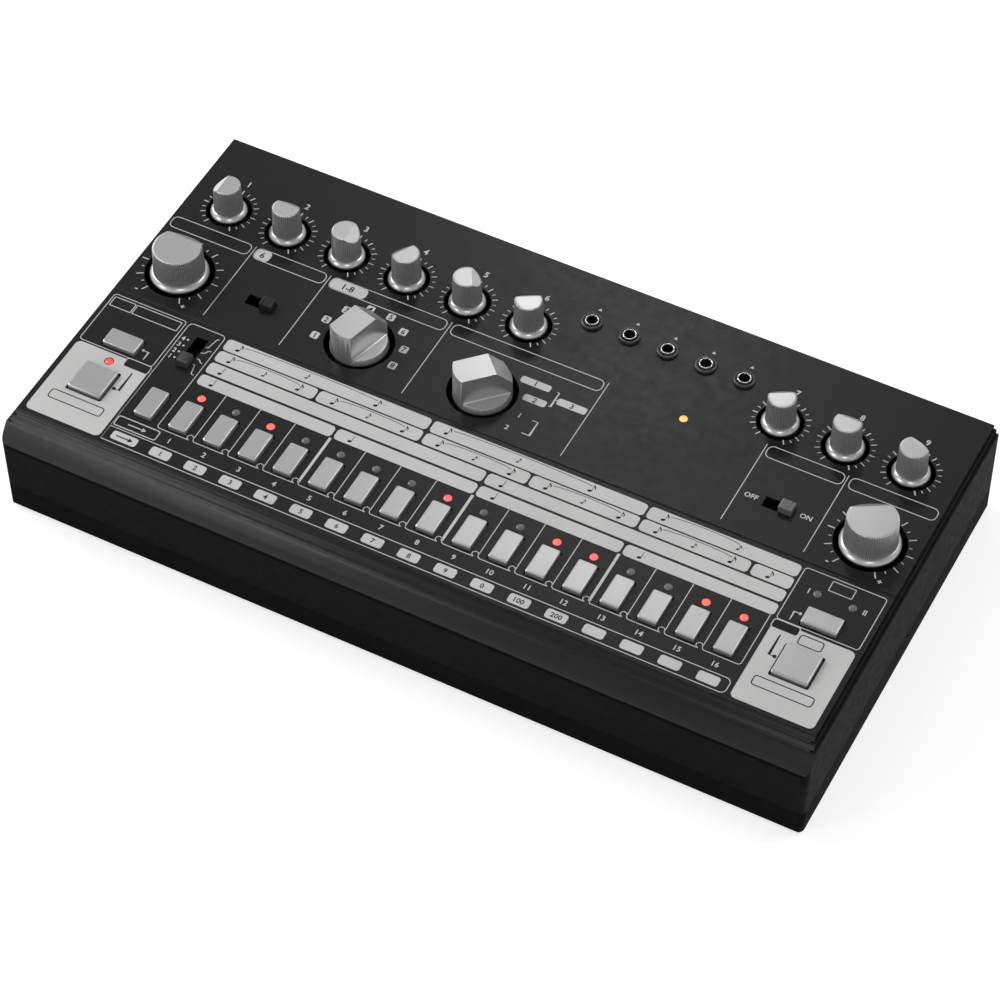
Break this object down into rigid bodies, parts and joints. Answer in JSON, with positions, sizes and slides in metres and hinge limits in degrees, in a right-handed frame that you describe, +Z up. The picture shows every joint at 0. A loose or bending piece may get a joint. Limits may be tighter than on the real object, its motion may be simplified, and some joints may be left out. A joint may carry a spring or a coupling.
{
  "type": "drum machine",
  "caption": "Table-top analogue drum machine: a flat dark case with a bevelled front, level knobs, rotary selectors, slide switches, lamps and a row of step buttons.",
  "frame": {"origin": "on the table, under the middle of the overall box (the jack behind the case included)", "axes": "+X to the user's right, +Y away from the user, +Z up"},
  "size_m": [0.305, 0.165, 0.056],
  "materials": {
    "case_plastic": "matt black moulded plastic with a fine grain",
    "base_plastic": "matt black moulded plastic",
    "back_plate": "black powder coat",
    "knob_plastic": "dark grey satin plastic with a fine knurl",
    "selector_plastic": "dark grey satin plastic",
    "button_plastic": "dark grey satin plastic",
    "switch_plastic": "black plastic",
    "lamp": "diffuse red lamp body",
    "foot_rubber": "soft black rubber",
    "screw_steel": "zinc plated",
    "nut_steel": "nickel plated",
    "jack_body": "black plastic with a plated thread",
    "socket_plastic": "black plastic",
    "socket_metal": "plated sheet",
    "board": "green solder mask",
    "pot_metal": "plated can and thread",
    "component_plastic": "black plastic"
  },
  "bodies": {
    "case": {"top_case": "case_plastic", "bottom_case": "base_plastic", "rear_panel": "back_plate", "rubber_feet": "foot_rubber", "screws": "screw_steel", "panel_board": "board", "button_board": "board", "main_board": "board", "board_connectors": "component_plastic", "potentiometers": "pot_metal", "rotary_switches": "component_plastic", "slide_switch_bodies": "pot_metal", "tact_switches": "component_plastic", "panel_lamps": "lamp", "panel_jacks": "jack_body", "jack_nuts": "nut_steel", "voice_jacks": "jack_body", "mix_jack": "jack_body", "midi_sockets": "socket_plastic", "usb_socket": "socket_metal", "power_inlet": "socket_plastic", "power_switch_body": "socket_plastic"},
    "knob_accent": {"knob_accent": "knob_plastic"},
    "knob_bass_drum": {"knob_bass_drum": "knob_plastic"},
    "knob_snare_drum": {"knob_snare_drum": "knob_plastic"},
    "knob_tom": {"knob_tom": "knob_plastic"},
    "knob_cymbal_clap": {"knob_cymbal_clap": "knob_plastic"},
    "knob_hi_hat": {"knob_hi_hat": "knob_plastic"},
    "knob_distortion": {"knob_distortion": "knob_plastic"},
    "knob_tone": {"knob_tone": "knob_plastic"},
    "knob_level": {"knob_level": "knob_plastic"},
    "knob_tempo": {"knob_tempo": "knob_plastic"},
    "knob_volume": {"knob_volume": "knob_plastic"},
    "selector_instrument": {"selector_instrument": "selector_plastic"},
    "selector_mode": {"selector_mode": "selector_plastic"},
    "slide_select": {"slide_select": "switch_plastic"},
    "slide_distortion": {"slide_distortion": "switch_plastic"},
    "slide_scale": {"slide_scale": "switch_plastic"},
    "button_clear": {"button_clear": "button_plastic"},
    "button_start_stop": {"button_start_stop": "button_plastic"},
    "button_function": {"button_function": "button_plastic"},
    "button_pattern_group": {"button_pattern_group": "button_plastic"},
    "button_write_next": {"button_write_next": "button_plastic"},
    "step_button_01": {"step_button_01": "button_plastic"},
    "step_button_02": {"step_button_02": "button_plastic"},
    "step_button_03": {"step_button_03": "button_plastic"},
    "step_button_04": {"step_button_04": "button_plastic"},
    "step_button_05": {"step_button_05": "button_plastic"},
    "step_button_06": {"step_button_06": "button_plastic"},
    "step_button_07": {"step_button_07": "button_plastic"},
    "step_button_08": {"step_button_08": "button_plastic"},
    "step_button_09": {"step_button_09": "button_plastic"},
    "step_button_10": {"step_button_10": "button_plastic"},
    "step_button_11": {"step_button_11": "button_plastic"},
    "step_button_12": {"step_button_12": "button_plastic"},
    "step_button_13": {"step_button_13": "button_plastic"},
    "step_button_14": {"step_button_14": "button_plastic"},
    "step_button_15": {"step_button_15": "button_plastic"},
    "step_button_16": {"step_button_16": "button_plastic"},
    "power_switch_cap": {"power_switch_cap": "switch_plastic"}
  },
  "joints": [
    {"name": "knob_accent_turn", "type": "hinge", "parent": "case", "child": "knob_accent", "pos_m": [-0.1335, 0.042, 0.043], "axis": [0, 0, 1], "range_deg": [-240, 60]},
    {"name": "knob_bass_drum_turn", "type": "hinge", "parent": "case", "child": "knob_bass_drum", "pos_m": [-0.1092, 0.042, 0.043], "axis": [0, 0, 1], "range_deg": [-150, 150]},
    {"name": "knob_snare_drum_turn", "type": "hinge", "parent": "case", "child": "knob_snare_drum", "pos_m": [-0.0849, 0.042, 0.043], "axis": [0, 0, 1], "range_deg": [-60, 240]},
    {"name": "knob_tom_turn", "type": "hinge", "parent": "case", "child": "knob_tom", "pos_m": [-0.0606, 0.042, 0.043], "axis": [0, 0, 1], "range_deg": [-210, 90]},
    {"name": "knob_cymbal_clap_turn", "type": "hinge", "parent": "case", "child": "knob_cymbal_clap", "pos_m": [-0.0363, 0.042, 0.043], "axis": [0, 0, 1], "range_deg": [-90, 210]},
    {"name": "knob_hi_hat_turn", "type": "hinge", "parent": "case", "child": "knob_hi_hat", "pos_m": [-0.012, 0.042, 0.043], "axis": [0, 0, 1], "range_deg": [-180, 120]},
    {"name": "knob_distortion_turn", "type": "hinge", "parent": "case", "child": "knob_distortion", "pos_m": [0.0849, 0.042, 0.043], "axis": [0, 0, 1], "range_deg": [-180, 120]},
    {"name": "knob_tone_turn", "type": "hinge", "parent": "case", "child": "knob_tone", "pos_m": [0.1092, 0.042, 0.043], "axis": [0, 0, 1], "range_deg": [-150, 150]},
    {"name": "knob_level_turn", "type": "hinge", "parent": "case", "child": "knob_level", "pos_m": [0.1335, 0.042, 0.043], "axis": [0, 0, 1], "range_deg": [-120, 180]},
    {"name": "knob_tempo_turn", "type": "hinge", "parent": "case", "child": "knob_tempo", "pos_m": [-0.1336, 0.0077, 0.043], "axis": [0, 0, 1], "range_deg": [-150, 150]},
    {"name": "knob_volume_turn", "type": "hinge", "parent": "case", "child": "knob_volume", "pos_m": [0.1336, 0.0077, 0.043], "axis": [0, 0, 1], "range_deg": [-180, 120]},
    {"name": "selector_instrument_turn", "type": "hinge", "parent": "case", "child": "selector_instrument", "pos_m": [-0.0607, 0.0077, 0.043], "axis": [0, 0, 1], "range_deg": [-90, 120]},
    {"name": "selector_mode_turn", "type": "hinge", "parent": "case", "child": "selector_mode", "pos_m": [-0.0121, 0.0077, 0.043], "axis": [0, 0, 1], "range_deg": [-90, 0]},
    {"name": "slide_select_slide", "type": "slide", "parent": "case", "child": "slide_select", "axis": [1, 0, 0], "range_m": [-0.0056, 0]},
    {"name": "slide_distortion_slide", "type": "slide", "parent": "case", "child": "slide_distortion", "axis": [1, 0, 0], "range_m": [-0.0056, 0]},
    {"name": "slide_scale_slide", "type": "slide", "parent": "case", "child": "slide_scale", "axis": [0, 1, 0], "range_m": [0, 0.0093]},
    {"name": "button_clear_slide", "type": "slide", "parent": "case", "child": "button_clear", "axis": [0, 0, -1], "range_m": [0, 0.0008], "stiffness_N_per_m": 1500, "springref_m": -0.0004},
    {"name": "button_start_stop_slide", "type": "slide", "parent": "case", "child": "button_start_stop", "axis": [0, 0, -1], "range_m": [0, 0.0008], "stiffness_N_per_m": 1500, "springref_m": -0.0004},
    {"name": "button_function_slide", "type": "slide", "parent": "case", "child": "button_function", "axis": [0, 0, -1], "range_m": [0, 0.0008], "stiffness_N_per_m": 1500, "springref_m": -0.0004},
    {"name": "button_pattern_group_slide", "type": "slide", "parent": "case", "child": "button_pattern_group", "axis": [0, 0, -1], "range_m": [0, 0.0008], "stiffness_N_per_m": 1500, "springref_m": -0.0004},
    {"name": "button_write_next_slide", "type": "slide", "parent": "case", "child": "button_write_next", "axis": [0, 0, -1], "range_m": [0, 0.0008], "stiffness_N_per_m": 1500, "springref_m": -0.0004},
    {"name": "step_button_01_slide", "type": "slide", "parent": "case", "child": "step_button_01", "axis": [0, 0, -1], "range_m": [0, 0.0008], "stiffness_N_per_m": 1500, "springref_m": -0.0004},
    {"name": "step_button_02_slide", "type": "slide", "parent": "case", "child": "step_button_02", "axis": [0, 0, -1], "range_m": [0, 0.0008], "stiffness_N_per_m": 1500, "springref_m": -0.0004},
    {"name": "step_button_03_slide", "type": "slide", "parent": "case", "child": "step_button_03", "axis": [0, 0, -1], "range_m": [0, 0.0008], "stiffness_N_per_m": 1500, "springref_m": -0.0004},
    {"name": "step_button_04_slide", "type": "slide", "parent": "case", "child": "step_button_04", "axis": [0, 0, -1], "range_m": [0, 0.0008], "stiffness_N_per_m": 1500, "springref_m": -0.0004},
    {"name": "step_button_05_slide", "type": "slide", "parent": "case", "child": "step_button_05", "axis": [0, 0, -1], "range_m": [0, 0.0008], "stiffness_N_per_m": 1500, "springref_m": -0.0004},
    {"name": "step_button_06_slide", "type": "slide", "parent": "case", "child": "step_button_06", "axis": [0, 0, -1], "range_m": [0, 0.0008], "stiffness_N_per_m": 1500, "springref_m": -0.0004},
    {"name": "step_button_07_slide", "type": "slide", "parent": "case", "child": "step_button_07", "axis": [0, 0, -1], "range_m": [0, 0.0008], "stiffness_N_per_m": 1500, "springref_m": -0.0004},
    {"name": "step_button_08_slide", "type": "slide", "parent": "case", "child": "step_button_08", "axis": [0, 0, -1], "range_m": [0, 0.0008], "stiffness_N_per_m": 1500, "springref_m": -0.0004},
    {"name": "step_button_09_slide", "type": "slide", "parent": "case", "child": "step_button_09", "axis": [0, 0, -1], "range_m": [0, 0.0008], "stiffness_N_per_m": 1500, "springref_m": -0.0004},
    {"name": "step_button_10_slide", "type": "slide", "parent": "case", "child": "step_button_10", "axis": [0, 0, -1], "range_m": [0, 0.0008], "stiffness_N_per_m": 1500, "springref_m": -0.0004},
    {"name": "step_button_11_slide", "type": "slide", "parent": "case", "child": "step_button_11", "axis": [0, 0, -1], "range_m": [0, 0.0008], "stiffness_N_per_m": 1500, "springref_m": -0.0004},
    {"name": "step_button_12_slide", "type": "slide", "parent": "case", "child": "step_button_12", "axis": [0, 0, -1], "range_m": [0, 0.0008], "stiffness_N_per_m": 1500, "springref_m": -0.0004},
    {"name": "step_button_13_slide", "type": "slide", "parent": "case", "child": "step_button_13", "axis": [0, 0, -1], "range_m": [0, 0.0008], "stiffness_N_per_m": 1500, "springref_m": -0.0004},
    {"name": "step_button_14_slide", "type": "slide", "parent": "case", "child": "step_button_14", "axis": [0, 0, -1], "range_m": [0, 0.0008], "stiffness_N_per_m": 1500, "springref_m": -0.0004},
    {"name": "step_button_15_slide", "type": "slide", "parent": "case", "child": "step_button_15", "axis": [0, 0, -1], "range_m": [0, 0.0008], "stiffness_N_per_m": 1500, "springref_m": -0.0004},
    {"name": "step_button_16_slide", "type": "slide", "parent": "case", "child": "step_button_16", "axis": [0, 0, -1], "range_m": [0, 0.0008], "stiffness_N_per_m": 1500, "springref_m": -0.0004},
    {"name": "power_switch_cap_slide", "type": "slide", "parent": "case", "child": "power_switch_cap", "axis": [0, -1, 0], "range_m": [0, 0.002], "stiffness_N_per_m": 800, "springref_m": -0.0005}
  ]
}
